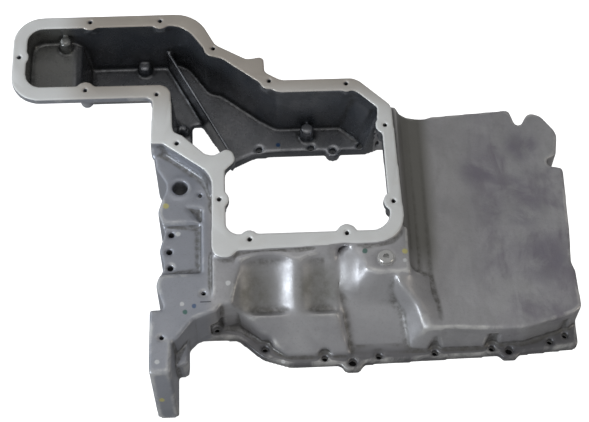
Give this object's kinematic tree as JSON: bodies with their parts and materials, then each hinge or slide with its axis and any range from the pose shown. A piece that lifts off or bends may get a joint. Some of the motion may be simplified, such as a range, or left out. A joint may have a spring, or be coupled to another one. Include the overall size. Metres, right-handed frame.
{
  "type": "engine oil pan",
  "caption": "Upper oil pan casting with a sealing ring, side pocket, scooped shoulder, flat front panel, gearbox-side leg and a plug.",
  "frame": {"origin": "bottom centre of the bounding box, on the plane of the engine face", "axes": "+X along the engine from the gearbox side to the front panel, +Z from the engine face to the ring that takes the lower pan"},
  "size_m": [0.6046, 0.451, 0.085],
  "materials": {
    "cast_aluminium": "as-cast, with machined faces",
    "plug_steel": "zinc plated",
    "washer_aluminium": "turned"
  },
  "bodies": {
    "root": {"pan_casting": "cast_aluminium", "level_plug": "plug_steel", "plug_washer": "washer_aluminium"}
  },
  "joints": []
}
